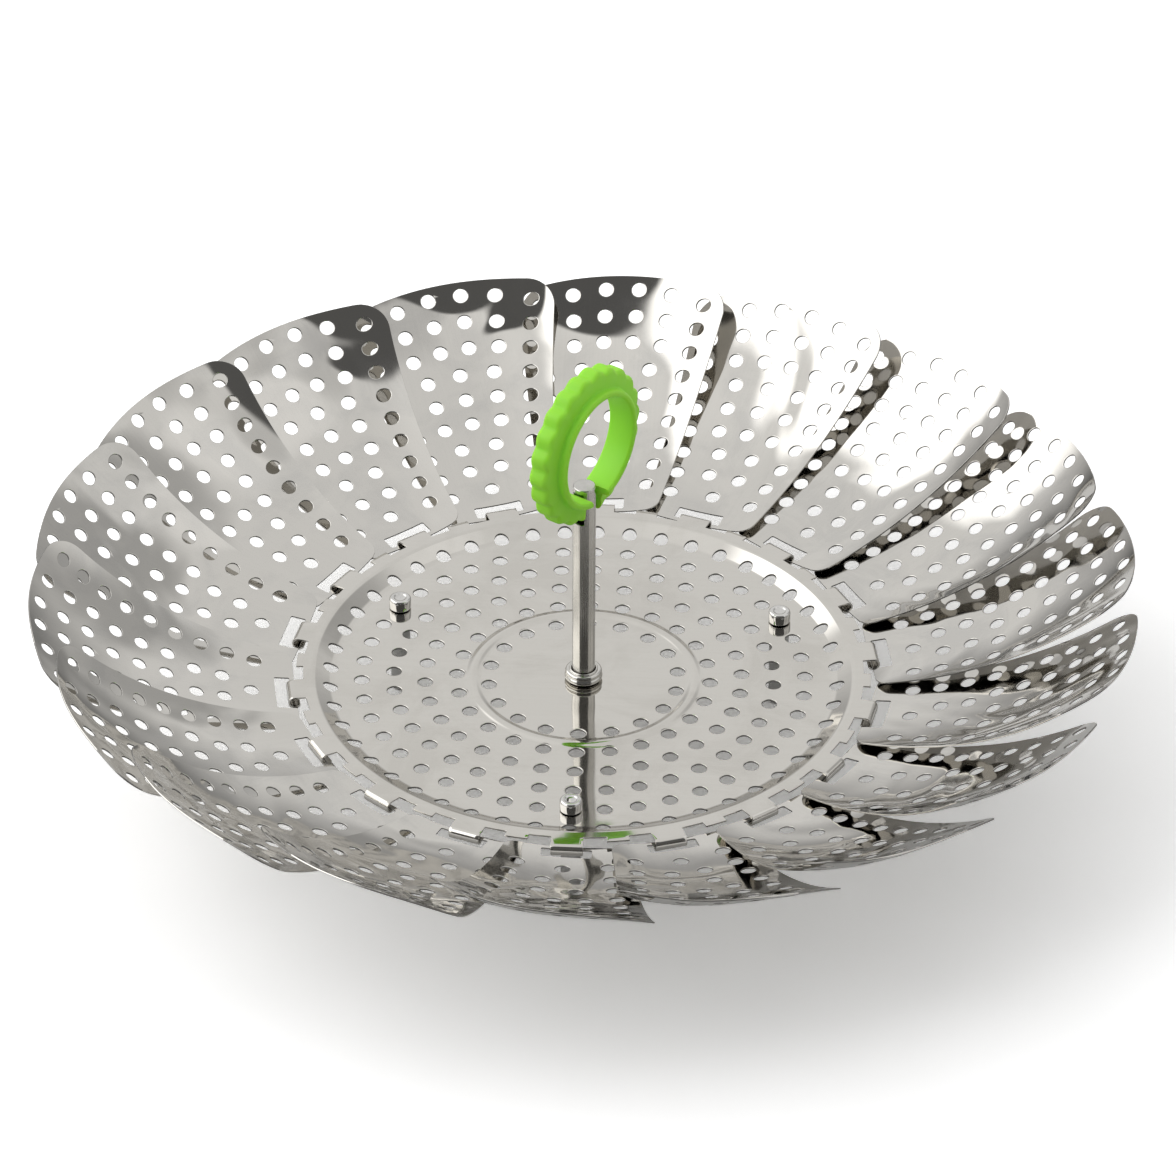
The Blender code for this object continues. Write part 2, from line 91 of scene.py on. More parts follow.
def start_piece(name):
    """Deselects everything and adds a small plane in edit mode, as the first point of a piece."""
    if bpy.context.mode != "OBJECT":
        bpy.ops.object.mode_set(mode="OBJECT")
    bpy.ops.object.select_all(action="DESELECT")
    bpy.ops.mesh.primitive_plane_add(size=0.001, location=(0, 0, 0), enter_editmode=True)
    bpy.context.object.name = name
    bpy.context.object.data.name = name
    bpy.ops.mesh.select_mode(type="VERT")
    bpy.ops.mesh.merge(type="CENTER")
    return bpy.context.object


def draw_line(points):
    """Moves the one selected point to the first place and extrudes it from place to place."""
    bpy.ops.transform.translate(value=points[0])
    for start, end in zip(points, points[1:]):
        bpy.ops.mesh.extrude_region_move(
            TRANSFORM_OT_translate={"value": Vector(end) - Vector(start)}
        )


def pick(wanted):
    """Selects only the points of the piece in edit mode whose place is wanted."""
    shape = bmesh.from_edit_mesh(bpy.context.object.data)
    for point in shape.verts:
        point.select = False
    shape.select_flush(False)
    for point in shape.verts:
        point.select = bool(wanted(point.co))
    shape.select_flush_mode()
    bmesh.update_edit_mesh(bpy.context.object.data)


def leave_edit():
    bpy.ops.object.mode_set(mode="OBJECT")


def use_modifier(piece, kind, **settings):
    """Adds a modifier, sets it and applies it."""
    bpy.ops.object.select_all(action="DESELECT")
    piece.select_set(True)
    bpy.context.view_layer.objects.active = piece
    step = piece.modifiers.new(kind.title(), kind)
    for setting, value in settings.items():
        setattr(step, setting, value)
    bpy.ops.object.modifier_apply(modifier=step.name)


def face_all(upward):
    """Turns all faces of the open sheet in edit mode to the upward side, or away from it."""
    bpy.ops.mesh.select_all(action="SELECT")
    bpy.ops.mesh.normals_make_consistent(inside=False)
    shape = bmesh.from_edit_mesh(bpy.context.object.data)
    lean = sum(face.normal.z * face.calc_area() for face in shape.faces)
    if (lean > 0) != upward:
        bpy.ops.mesh.flip_normals()


def round_sharp_edges(sheet, bore_radius=0):
    """Rounds the sharp edges of a sheet a little, apart from those nearer its middle than
    bore_radius."""
    bpy.ops.object.mode_set(mode="EDIT")
    bpy.ops.mesh.select_mode(type="EDGE")
    bpy.ops.mesh.select_all(action="DESELECT")
    bpy.ops.mesh.edges_select_sharp(sharpness=SHARP_EDGE)
    shape = bmesh.from_edit_mesh(sheet.data)
    for edge in shape.edges:
        if math.hypot(*edge.verts[0].co.xy) < bore_radius:
            edge.select = False
    bmesh.update_edit_mesh(sheet.data)
    bpy.ops.mesh.bevel(offset=SHEET_ROUNDING, segments=2, affect="EDGES", clamp_overlap=False)
    bpy.ops.mesh.select_mode(type="VERT")
    leave_edit()


def at_azimuth(radius, azimuth, height):
    return Vector((radius * math.cos(azimuth), radius * math.sin(azimuth), height))


def azimuth_from_y(place):
    """The angle of a place from +Y about the upright axis, clockwise."""
    return math.atan2(place.x, place.y)


plate = start_piece("base_plate_pressed")
first_azimuth = math.radians(90) + SECTOR / 2
draw_line([at_azimuth(radius, first_azimuth, height) for radius, height in PLATE_PROFILE])
for radius, reach in PLATE_BENDS:
    pick(lambda place: abs(math.hypot(place.x, place.y) - radius) < MERGE)
    bpy.ops.mesh.bevel(offset=reach, segments=BEND_STEPS, affect="VERTICES")
bpy.ops.mesh.select_all(action="SELECT")
turns = (
    (SECTOR / 2 - LAND_EDGE, 3),
    (LAND_EDGE - TAB_EDGE, 5),
    (TAB_EDGE * 2, 8),
    (LAND_EDGE - TAB_EDGE, 5),
    (SECTOR / 2 - LAND_EDGE, 3),
)
for angle, steps in turns:
    bpy.ops.mesh.spin(angle=angle, steps=steps, center=(0, 0, 0), axis=(0, 0, 1))

pick(
    lambda place: math.hypot(place.x, place.y) > RIM_RADIUS - MERGE
    and abs(azimuth_from_y(place)) < TAB_EDGE + ANGLE_SLACK
)
bpy.ops.mesh.extrude_region_move(
    TRANSFORM_OT_translate={"value": (0, HINGE_RADIUS - RIM_RADIUS, 0)}
)
bpy.ops.transform.resize(value=(1, 0, 1), center_override=(0, HINGE_RADIUS, BAND_TOP))
bpy.ops.mesh.spin(
    angle=CURL_ANGLE,
    steps=CURL_STEPS,
    center=(0, HINGE_RADIUS, HINGE_HEIGHT),
    axis=(1, 0, 0),
)

for side in (-1, 1):
    pick(
        lambda place: abs(math.hypot(place.x, place.y) - RIM_RADIUS) < MERGE
        and side * azimuth_from_y(place) > LAND_EDGE - ANGLE_SLACK
    )
    bpy.ops.mesh.extrude_region_move()
    grow = LAND_RADIUS / RIM_RADIUS
    bpy.ops.transform.resize(value=(grow, grow, 1), center_override=(0, 0, BAND_TOP))

bpy.ops.mesh.select_all(action="SELECT")
bpy.ops.mesh.spin(
    dupli=True,
    steps=PETAL_COUNT - 1,
    angle=math.tau - SECTOR,
    center=(0, 0, 0),
    axis=(0, 0, 1),
)
bpy.ops.mesh.select_all(action="SELECT")
bpy.ops.mesh.remove_doubles(threshold=MERGE)
face_all(upward=True)
leave_edit()
use_modifier(plate, "SOLIDIFY", thickness=SHEET, offset=-1, use_even_offset=True)
round_sharp_edges(plate, BEAD_RADIUS)

HOLE_RADIUS = 0.0019
HOLE_PITCH = 0.008
HOLE_SIDES = 28
# The rolled edge of a hole, as how far it lies outside the hole and below the sheet's top
ROLLED_EDGE = ((0.0, 0.0002), (0.00005, 0.0001), (0.00015, 0.00003), (0.00033, 0.0))
FIRST_RING = 3
LAST_RING = 8
LEG_RING = 7
LEG_AZIMUTHS = [math.radians(degrees) for degrees in (150, 270, 30)]
SCREW_HOLE_RADIUS = 0.0015
PUNCH_REACH = 0.0030
PUNCH_FLARE = 1.5
BAND_EDGE = 0.0690


def make_punch(name, radius, place, rolled):
    """A round punch, upright at a place on the sheet's top and flared to leave a rolled edge."""
    bpy.ops.object.select_all(action="DESELECT")
    depth = rolled[0][1] if rolled else -PUNCH_REACH
    low = Vector(place) - Vector((0, 0, PUNCH_REACH))
    high = Vector(place) - Vector((0, 0, depth))
    bpy.ops.mesh.primitive_cylinder_add(
        vertices=HOLE_SIDES,
        radius=radius,
        depth=(high - low).z,
        location=(low + high) / 2,
        end_fill_type="NGON",
        enter_editmode=True,
    )
    punch = bpy.context.object
    punch.name = name
    if rolled:
        pick(lambda at: at.z > 0)
        width = radius
        for outside, below in rolled[1:]:
            bpy.ops.mesh.extrude_region_move(
                TRANSFORM_OT_translate={"value": (0, 0, depth - below)}
            )
            grow = (radius + outside) / width
            bpy.ops.transform.resize(value=(grow, grow, 1))
            width = radius + outside
            depth = below
        bpy.ops.mesh.extrude_region_move(TRANSFORM_OT_translate={"value": (0, 0, PUNCH_REACH)})
        bpy.ops.transform.resize(value=(PUNCH_FLARE, PUNCH_FLARE, 1))
    leave_edit()
    bpy.ops.object.transform_apply(location=True, rotation=True, scale=True)
    return punch


def join_all(pieces):
    bpy.ops.object.select_all(action="DESELECT")
    for piece in pieces:
        piece.select_set(True)
    bpy.context.view_layer.objects.active = pieces[0]
    bpy.ops.object.join()
    return pieces[0]


def cut_away(piece, cutter):
    use_modifier(piece, "BOOLEAN", object=cutter, operation="DIFFERENCE", solver="MANIFOLD")
    bpy.data.objects.remove(cutter, do_unlink=True)


# Each ring has six more holes than the one inside it. In the leg ring, narrower holes for the
# three screws take the place of those nearest to them
punches = []
for ring in range(FIRST_RING, LAST_RING + 1):
    count = 6 * ring
    radius = HOLE_PITCH * ring
    rolled = None if ring == LAST_RING else ROLLED_EDGE
    punch = make_punch(f"plate_punch_{ring}", HOLE_RADIUS, (0, radius, FLAT_TOP), rolled)
    bpy.ops.object.mode_set(mode="EDIT")
    bpy.ops.mesh.select_all(action="SELECT")
    bpy.ops.mesh.spin(
        dupli=True, steps=count - 1, angle=math.tau * (count - 1) / count, axis=(0, 0, 1)
    )
    if ring == LEG_RING:
        legs = [at_azimuth(radius, azimuth, 0) for azimuth in LEG_AZIMUTHS]
        pick(lambda place: min(math.hypot(*(place - leg).xy) for leg in legs) < HOLE_PITCH / 2)
        bpy.ops.mesh.delete(type="VERT")
    leave_edit()
    punches.append(punch)
for leg in legs:
    place = leg + Vector((0, 0, FLAT_TOP))
    punches.append(make_punch("screw_punch", SCREW_HOLE_RADIUS, place, None))
cut_away(plate, join_all(punches))

NEARLY_FLAT = math.cos(math.radians(6))
BENT_EDGE = math.cos(math.radians(42))


def read_corners(mesh):
    """The vertex, the face's normal and the shading normal of each face corner, as arrays."""
    vertices = np.empty(len(mesh.loops), np.int32)
    mesh.loops.foreach_get("vertex_index", vertices)
    totals = np.empty(len(mesh.polygons), np.int32)
    mesh.polygons.foreach_get("loop_total", totals)
    faces = np.empty(len(mesh.polygons) * 3, np.float32)
    mesh.polygons.foreach_get("normal", faces)
    shading = np.empty(len(mesh.loops) * 3, np.float32)
    mesh.corner_normals.foreach_get("vector", shading)
    return vertices, np.repeat(faces.reshape(-1, 3), totals, axis=0), shading.reshape(-1, 3)


def sheet_normals(mesh, true_normals):
    """Shading normals in which the sheet keeps its true ones right up to the edge of every hole,
    given one true normal for each vertex, or zero where the sheet has none. A point counts as on
    the sheet where a face of it is nearly flat, and a face as the sheet's up to a bent edge."""
    vertices, faces, shading = read_corners(mesh)
    true = true_normals[vertices]
    lean = np.einsum("ij,ij->i", faces, true)
    held = np.zeros((2, len(mesh.vertices)), bool)
    held[0, vertices[lean > NEARLY_FLAT]] = True
    held[1, vertices[lean < -NEARLY_FLAT]] = True
    above = held[0, vertices] & (lean > BENT_EDGE)
    below = held[1, vertices] & (lean < -BENT_EDGE)
    made = shading.copy()
    made[above] = true[above]
    made[below] = -true[below]
    return made


def places_of(mesh):
    flat = np.empty(len(mesh.vertices) * 3, np.float32)
    mesh.vertices.foreach_get("co", flat)
    return flat.reshape(-1, 3).astype(np.float64)


def plate_slopes(radii):
    """How steeply the pressed sheet climbs at each radius, as an angle."""
    marks = []
    for share in np.linspace(-1, 1, BEAD_STEPS * 4 + 1):
        climb = -BEAD_RISE * math.pi / 2 * math.sin(math.pi * share) / BEAD_HALF_WIDTH
        marks.append((BEAD_RADIUS + BEAD_HALF_WIDTH * share, math.atan(climb)))
    (near, low), (far, high) = PLATE_PROFILE[-3:-1]
    rim_step = math.atan2(high - low, far - near)
    for (radius, reach), before in zip(PLATE_BENDS, (0, rim_step)):
        after = rim_step - before
        marks.append((radius - reach * math.cos(before), before))
        marks.append((radius + reach * math.cos(after), after))
    return np.interp(radii, [mark[0] for mark in marks], [mark[1] for mark in marks])


bpy.ops.object.shade_smooth_by_angle(angle=SMOOTHED_EDGE)
places = places_of(plate.data)
radii = np.hypot(places[:, 0], places[:, 1])
slopes = plate_slopes(radii)
outward = places[:, :2] / radii[:, None]
true = np.column_stack([-outward * np.sin(slopes)[:, None], np.cos(slopes)])
true[radii > RIM_RADIUS - MERGE] = 0
plate.data.normals_split_custom_set(sheet_normals(plate.data, true).tolist())


def new_material(name):
    made = bpy.data.materials.new(name)
    made.use_nodes = True
    return made, made.node_tree.nodes, made.node_tree.links


def make_steel_surface():
    """The finish of bright-rolled stainless sheet, for all steel pieces: clouds of handling marks
    that dull and darken it a little, fine streaks along the rolling, and shallow waves."""
    group = bpy.data.node_groups.new("rolled_steel_surface", "ShaderNodeTree")
    inputs = (
        ("Place", "NodeSocketVector", (0, 0, 0)),
        ("Streak Place", "NodeSocketVector", (0, 0, 0)),
        ("Clean Colour", "NodeSocketColor", (0.6, 0.6, 0.6, 1)),
        ("Clouded Colour", "NodeSocketColor", (0.5, 0.5, 0.5, 1)),
        ("Clean Roughness", "NodeSocketFloat", 0.1),
        ("Clouded Roughness", "NodeSocketFloat", 0.2),
        ("Clouds Per Metre", "NodeSocketFloat", 60.0),
        ("Streaks Per Metre", "NodeSocketVector", (30, 1500, 30)),
        ("Streak Depth", "NodeSocketFloat", 0.000001),
        ("Waves Per Metre", "NodeSocketFloat", 40.0),
        ("Wave Depth", "NodeSocketFloat", 0.0001),
    )
    for name, kind, value in inputs:
        socket = group.interface.new_socket(name=name, in_out="INPUT", socket_type=kind)
        socket.default_value = value
    outputs = (("Colour", "Color"), ("Roughness", "Float"), ("Normal", "Vector"))
    for name, kind in outputs:
        group.interface.new_socket(name=name, in_out="OUTPUT", socket_type="NodeSocket" + kind)
    nodes = group.nodes
    links = group.links
    given = nodes.new("NodeGroupInput").outputs
    clouds = nodes.new("ShaderNodeTexNoise")
    clouds.inputs["Detail"].default_value = 5
    clouds.inputs["Roughness"].default_value = 0.62
    clouds.inputs["Distortion"].default_value = 0.6
    links.new(given["Place"], clouds.inputs["Vector"])
    links.new(given["Clouds Per Metre"], clouds.inputs["Scale"])
    clouded = nodes.new("ShaderNodeMapRange")
    clouded.inputs["From Min"].default_value = 0.46
    clouded.inputs["From Max"].default_value = 0.68
    links.new(clouds.outputs["Fac"], clouded.inputs["Value"])
    stretched = nodes.new("ShaderNodeVectorMath")
    stretched.operation = "MULTIPLY"
    links.new(given["Streak Place"], stretched.inputs[0])
    links.new(given["Streaks Per Metre"], stretched.inputs[1])
    streaks = nodes.new("ShaderNodeTexNoise")
    streaks.inputs["Scale"].default_value = 1
    streaks.inputs["Detail"].default_value = 3
    links.new(stretched.outputs["Vector"], streaks.inputs["Vector"])
    dulled = nodes.new("ShaderNodeMath")
    dulled.operation = "MULTIPLY_ADD"
    links.new(streaks.outputs["Fac"], dulled.inputs[0])
    dulled.inputs[1].default_value = 0.5
    links.new(clouded.outputs["Result"], dulled.inputs[2])
    dulled.use_clamp = True
    colour = nodes.new("ShaderNodeMix")
    colour.data_type = "RGBA"
    links.new(dulled.outputs["Value"], colour.inputs["Factor"])
    links.new(given["Clean Colour"], colour.inputs[6])
    links.new(given["Clouded Colour"], colour.inputs[7])
    roughness = nodes.new("ShaderNodeMix")
    links.new(dulled.outputs["Value"], roughness.inputs["Factor"])
    links.new(given["Clean Roughness"], roughness.inputs[2])
    links.new(given["Clouded Roughness"], roughness.inputs[3])
    waves = nodes.new("ShaderNodeTexNoise")
    waves.inputs["Detail"].default_value = 1.5
    waves.inputs["Distortion"].default_value = 0.8
    links.new(given["Waves Per Metre"], waves.inputs["Scale"])
    links.new(given["Place"], waves.inputs["Vector"])
    wavy = nodes.new("ShaderNodeBump")
    links.new(waves.outputs["Fac"], wavy.inputs["Height"])
    links.new(given["Wave Depth"], wavy.inputs["Distance"])
    streaky = nodes.new("ShaderNodeBump")
    links.new(streaks.outputs["Fac"], streaky.inputs["Height"])
    links.new(given["Streak Depth"], streaky.inputs["Distance"])
    links.new(wavy.outputs["Normal"], streaky.inputs["Normal"])
    given_back = nodes.new("NodeGroupOutput").inputs
    links.new(colour.outputs[2], given_back["Colour"])
    links.new(roughness.outputs[0], given_back["Roughness"])
    links.new(streaky.outputs["Normal"], given_back["Normal"])
    return group


steel_surface = make_steel_surface()


def make_steel(name, map_name=None, **values):
    """A steel with its own values of the rolled surface, streaked by place or by its own map."""
    made, nodes, links = new_material(name)
    place = nodes.new("ShaderNodeTexCoord").outputs["Object"]
    streak_place = place
    if map_name:
        flat_map = nodes.new("ShaderNodeUVMap")
        flat_map.uv_map = map_name
        streak_place = flat_map.outputs["UV"]
    surface = nodes.new("ShaderNodeGroup")
    surface.node_tree = steel_surface
    links.new(place, surface.inputs["Place"])
    links.new(streak_place, surface.inputs["Streak Place"])
    for title, value in values.items():
        surface.inputs[title.replace("_", " ").title()].default_value = value
    shader = nodes["Principled BSDF"]
    shader.inputs["Metallic"].default_value = 1
    links.new(surface.outputs["Colour"], shader.inputs["Base Color"])
    links.new(surface.outputs["Roughness"], shader.inputs["Roughness"])
    links.new(surface.outputs["Normal"], shader.inputs["Normal"])
    return made


def finish_with(piece, *looks):
    """Gives the piece only these materials, as a cut leaves an empty slot behind."""
    piece.data.materials.clear()
    for look in looks:
        piece.data.materials.append(look)


def middles_of(mesh):
    """The middle of each face."""
    flat = np.empty(len(mesh.polygons) * 3, np.float32)
    mesh.polygons.foreach_get("center", flat)
    return flat.reshape(-1, 3)


def wall_faces(mesh):
    """Which faces of a flat sheet stand upright in it, as 0 or 1."""
    normals = np.empty(len(mesh.polygons) * 3, np.float32)
    mesh.polygons.foreach_get("normal", normals)
    return (np.abs(normals[2::3]) < 0.5).astype(np.int32)


plate_steel = make_steel(
    "pressed_plate_steel",
    clean_colour=(0.63, 0.61, 0.57, 1),
    clouded_colour=(0.57, 0.55, 0.51, 1),
    clean_roughness=0.035,
    clouded_roughness=0.085,
    clouds_per_metre=38,
    streaks_per_metre=(22, 1300, 22),
    streak_depth=0.0000003,
    waves_per_metre=30,
    wave_depth=0.0002,
)
# The holes' walls: rougher steel, as a sheared edge is, and darkened in colour as painted shade
dull_wall_steel_painted_shade = make_steel(
    "sheared_edge_steel_painted_shade",
    clean_colour=(0.3, 0.29, 0.275, 1),
    clouded_colour=(0.2, 0.195, 0.185, 1),
    clean_roughness=0.4,
    clouded_roughness=0.55,
    clouds_per_metre=900,
    streaks_per_metre=(3000, 3000, 300),
    streak_depth=0.000002,
    wave_depth=0.00001,
)
finish_with(plate, plate_steel, dull_wall_steel_painted_shade)
# The darker wall steel, with its painted shade, goes on the holes' walls only, not on the rim's
# edges
walls = wall_faces(plate.data)
middles = middles_of(plate.data)
walls[np.hypot(middles[:, 0], middles[:, 1]) > BAND_EDGE] = 0
plate.data.polygons.foreach_set("material_index", walls)
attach(plate, "base")
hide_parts("base_plate")

# Petals
# Eighteen leaves stamped from thinner stainless sheet. Each blank is punched with nine rows of
# round holes and a slot near its root, pressed to a shallow dish with a slight twist, and hung
# on a plate tab, which passes through the slot. Each lies over the next.
PETAL_SHEET = 0.0004
PETAL_LENGTH = 0.0736
PETAL_LEAN = 0.0032
ROOT_HALF_WIDTH = 0.0150
TIP_HALF_WIDTH = 0.0294
ROOT_STRIP = 0.0006
ROOT_CORNER = 0.0030
TIP_CORNER = 0.0075
TIP_ARC_DROP = 0.0050
ROOT_CORNER_END = ROOT_CORNER - ROOT_STRIP
SIDE_PLACES = [0.03, 0.058]
TIP_POINTS = 64
SIDE_MARK = 0.028
SLOT_HALF_WIDTH = 0.00625
SLOT_END = 0.0046
ROOT_SLOPE = math.radians(6)
TIP_SLOPE = math.radians(44)
DISH = (0.0040, -0.0005)
TILT = (0.0008, 0.0020)
TWIST = (0.0026, -0.0004)
PETAL_ROW_COUNTS = (6, 6, 6, 5, 5, 5, 4, 4, 3)
FIRST_ROW = 0.0700
ROW_STEP = 0.00741
ROW_ARC_DROP = 0.0090
# How wide a row is to each side, and how far its middle lies across the petal: each at the root,
# and then what it gains over ROW_REACH along the petal
ROOT_ROW_HALF_WIDTH = 0.0093
ROW_WIDENING = 0.0134
ROOT_ROW_MIDDLE = 0.0001
ROW_LEAN = 0.0027
ROW_REACH = 0.075
HALF_SHEET = PETAL_SHEET / 2
SLOT_CORNER = 0.0005
RIM_WIDTH = 0.0005
TIP_RIM_START = FIRST_ROW + 0.0022
CUT_STEP = 0.0017
CUTS_ACROSS = (-0.0255, 0.0318)
CUTS_ALONG = (0.0008, 0.0733)


def corner_drop(inside, radius):
    return radius - np.sqrt(radius**2 - inside**2)


def half_width(along):
    taper = (TIP_HALF_WIDTH - ROOT_HALF_WIDTH) * np.maximum(along, 0) / PETAL_LENGTH
    inside = np.maximum(ROOT_CORNER_END - along, 0)
    return ROOT_HALF_WIDTH + taper - corner_drop(inside, ROOT_CORNER)


def petal_middle(along):
    """Where the petal's middle line lies across it, as its tip leans to the clockwise side."""
    return PETAL_LEAN * np.maximum(along, 0) / PETAL_LENGTH


def blank_outline():
    """The blank's edge from its root's left end round its tip to the right end."""
    sides = np.concatenate([np.linspace(-ROOT_STRIP, ROOT_CORNER_END, 9), SIDE_PLACES])
    left = [(petal_middle(at) - half_width(at), at, HALF_SHEET) for at in sides]
    right = [(petal_middle(at) + half_width(at), at, HALF_SHEET) for at in reversed(sides)]
    shares = np.sin(np.linspace(-math.pi / 2, math.pi / 2, TIP_POINTS))
    across = np.abs(shares) * TIP_HALF_WIDTH
    inside = np.maximum(across - TIP_HALF_WIDTH + TIP_CORNER, 0)
    drop = TIP_ARC_DROP * (across / SIDE_MARK) ** 2 + corner_drop(inside, TIP_CORNER)
    along = PETAL_LENGTH - drop
    tip = [
        (petal_middle(end) + share * half_width(end), end, HALF_SHEET)
        for share, end in zip(shares, along)
    ]
    return left + tip + right


def on_petal(across, along):
    """Places on the pressed petal's middle surface, from places on the flat blank."""
    share = np.maximum(along, 0) / PETAL_LENGTH
    side = (across - petal_middle(along)) / SIDE_MARK
    slope = ROOT_SLOPE + (TIP_SLOPE - ROOT_SLOPE) * share
    bend = PETAL_LENGTH / (TIP_SLOPE - ROOT_SLOPE)
    before = np.minimum(along, 0)
    out = bend * (np.sin(slope) - math.sin(ROOT_SLOPE)) + before * math.cos(ROOT_SLOPE)
    up = bend * (math.cos(ROOT_SLOPE) - np.cos(slope)) + before * math.sin(ROOT_SLOPE)
    rise = (DISH[0] + DISH[1] * share) * side**2
    rise = rise + (TILT[0] + TILT[1] * share) * side + (TWIST[0] + TWIST[1] * share) * side**3
    return np.column_stack([across, out - rise * np.sin(slope), up + rise * np.cos(slope)])


def unit(vectors):
    return vectors / np.linalg.norm(vectors, axis=1)[:, None]


def press(mesh):
    """Bends the flat punched blank to the petal's form, with the shading that the form gives."""
    places = places_of(mesh)
    level = np.tile((0.0, 0.0, 1.0), (len(places), 1))
    vertices, _, _ = read_corners(mesh)
    flat_normals = sheet_normals(mesh, level)
    across, along, height = places.T
    step = 0.00001
    aside = unit(on_petal(across + step, along) - on_petal(across - step, along))
    tipward = unit(on_petal(across, along + step) - on_petal(across, along - step))
    upward = unit(np.cross(aside, tipward))
    pressed = on_petal(across, along) + upward * height[:, None]
    pressed += (0, HINGE_RADIUS, HINGE_HEIGHT)
    flat_map = mesh.uv_layers.new(name="flat_blank")
    flat_map.data.foreach_set("uv", places[vertices, :2].astype(np.float32).ravel())
    mesh.vertices.foreach_set("co", pressed.astype(np.float32).ravel())
    turned = flat_normals[:, :1] * aside[vertices] + flat_normals[:, 1:2] * tipward[vertices]
    turned = unit(turned + flat_normals[:, 2:] * upward[vertices])
    mesh.update()
    mesh.normals_split_custom_set(turned.tolist())


def make_block(place, sizes, azimuth=0):
    """A block that cuts an opening, turned about the upright axis."""
    bpy.ops.object.select_all(action="DESELECT")
    bpy.ops.mesh.primitive_cube_add(
        size=1, location=place, rotation=(0, 0, azimuth), scale=sizes
    )
    bpy.ops.object.transform_apply(location=True, rotation=True, scale=True)
    return bpy.context.object


petal = start_piece("petal_01_leaf")
draw_line(blank_outline())
bpy.ops.mesh.select_all(action="SELECT")
bpy.ops.mesh.remove_doubles(threshold=MERGE)
bpy.ops.mesh.edge_face_add()
face_all(upward=True)
leave_edit()
use_modifier(petal, "SOLIDIFY", thickness=PETAL_SHEET, offset=-1)
round_sharp_edges(petal)

row_places = []
for row, count in enumerate(PETAL_ROW_COUNTS):
    row_along = FIRST_ROW - ROW_STEP * row
    half_row = ROOT_ROW_HALF_WIDTH + ROW_WIDENING * row_along / ROW_REACH
    row_middle = ROOT_ROW_MIDDLE + ROW_LEAN * row_along / ROW_REACH
    for aside in np.linspace(-half_row, half_row, count):
        drop = ROW_ARC_DROP * (aside / SIDE_MARK) ** 2
        row_places.append((row_middle + aside, row_along - drop, HALF_SHEET))
PETAL_ROLLED_EDGE = ((0.0, 0.00012), (0.00003, 0.00006), (0.00009, 0.000015), (0.00019, 0.0))
punch = make_punch("petal_punch", HOLE_RADIUS, row_places[0], PETAL_ROLLED_EDGE)
bpy.ops.object.mode_set(mode="EDIT")
bpy.ops.mesh.select_all(action="SELECT")
for start, end in zip(row_places, row_places[1:]):
    bpy.ops.mesh.duplicate_move(
        TRANSFORM_OT_translate={"value": Vector(end) - Vector(start)}
    )
leave_edit()
slot_punch = make_block(
    (0, (ROOT_STRIP + SLOT_END) / 2, 0),
    (SLOT_HALF_WIDTH * 2, SLOT_END - ROOT_STRIP, PUNCH_REACH),
)
bpy.ops.object.mode_set(mode="EDIT")
bpy.ops.mesh.select_mode(type="EDGE")
shape = bmesh.from_edit_mesh(slot_punch.data)
for edge in shape.edges:
    edge.select = abs(edge.verts[0].co.z - edge.verts[1].co.z) > MERGE
bmesh.update_edit_mesh(slot_punch.data)
bpy.ops.mesh.bevel(offset=SLOT_CORNER, segments=4, affect="EDGES")
bpy.ops.mesh.select_mode(type="VERT")
leave_edit()
cut_away(petal, join_all([punch, slot_punch]))

bpy.ops.object.mode_set(mode="EDIT")
for direction, reach in (((1, 0, 0), CUTS_ACROSS), ((0, 1, 0), CUTS_ALONG)):
    for place in np.arange(*reach, CUT_STEP):
        bpy.ops.mesh.select_all(action="SELECT")
        bpy.ops.mesh.bisect(plane_co=Vector(direction) * place, plane_no=direction)
leave_edit()
bpy.ops.object.shade_smooth_by_angle(angle=SMOOTHED_EDGE)
# The darker wall steel, with its painted shade, goes on the walls of the holes and the slot only
walls = wall_faces(petal.data)
across, along, _ = middles_of(petal.data).T
rims = np.abs(across - petal_middle(along)) > half_width(along) - RIM_WIDTH
walls[rims | (along > TIP_RIM_START)] = 0
press(petal.data)
petal_steel = make_steel(
    "pressed_petal_steel",
    map_name="flat_blank",
    clean_colour=(0.63, 0.61, 0.57, 1),
    clouded_colour=(0.56, 0.545, 0.515, 1),
    clean_roughness=0.03,
    clouded_roughness=0.1,
    clouds_per_metre=52,
    streaks_per_metre=(1600, 26, 26),
    streak_depth=0.0000003,
    waves_per_metre=22,
    wave_depth=0.003,
)
finish_with(petal, petal_steel, dull_wall_steel_painted_shade)
petal.data.polygons.foreach_set("material_index", walls)
petals = [petal]
for number in range(2, PETAL_COUNT + 1):
    bpy.ops.object.select_all(action="DESELECT")
    petal.select_set(True)
    bpy.context.view_layer.objects.active = petal
    bpy.ops.object.duplicate()
    copy = bpy.context.object
    copy.name = f"petal_{number:02d}_leaf"
    copy.data.name = copy.name
    copy.rotation_euler = (0, 0, -SECTOR * (number - 1))
    bpy.ops.object.transform_apply(location=True, rotation=True, scale=True)
    petals.append(copy)
for number, leaf in enumerate(petals, start=1):
    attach(leaf, f"petal_{number:02d}")
    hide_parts(f"petal_{number:02d}")

# Legs and leg screws
# Three stainless rods, bored at the top, stand under the plate. A screw passes down through the
# plate into each, and only its low shiny head shows above.
LEG_RADIUS = 0.0025
LEG_TOP = 0.0237
LEG_BORE_BOTTOM = 0.0157
LEG_RING_RADIUS = HOLE_PITCH * LEG_RING
SCREW_HEAD_RADIUS = 0.0028
SCREW_HEAD_BOTTOM = 0.0248
SCREW_HEAD_TOP = 0.0278
SCREW_SHANK_RADIUS = 0.0012
SCREW_END = 0.0174
RECESS_BOTTOM = SCREW_HEAD_TOP - 0.0003
RECESS_BOTTOM_RADIUS = 0.0013
RECESS_RADIUS = 0.0017


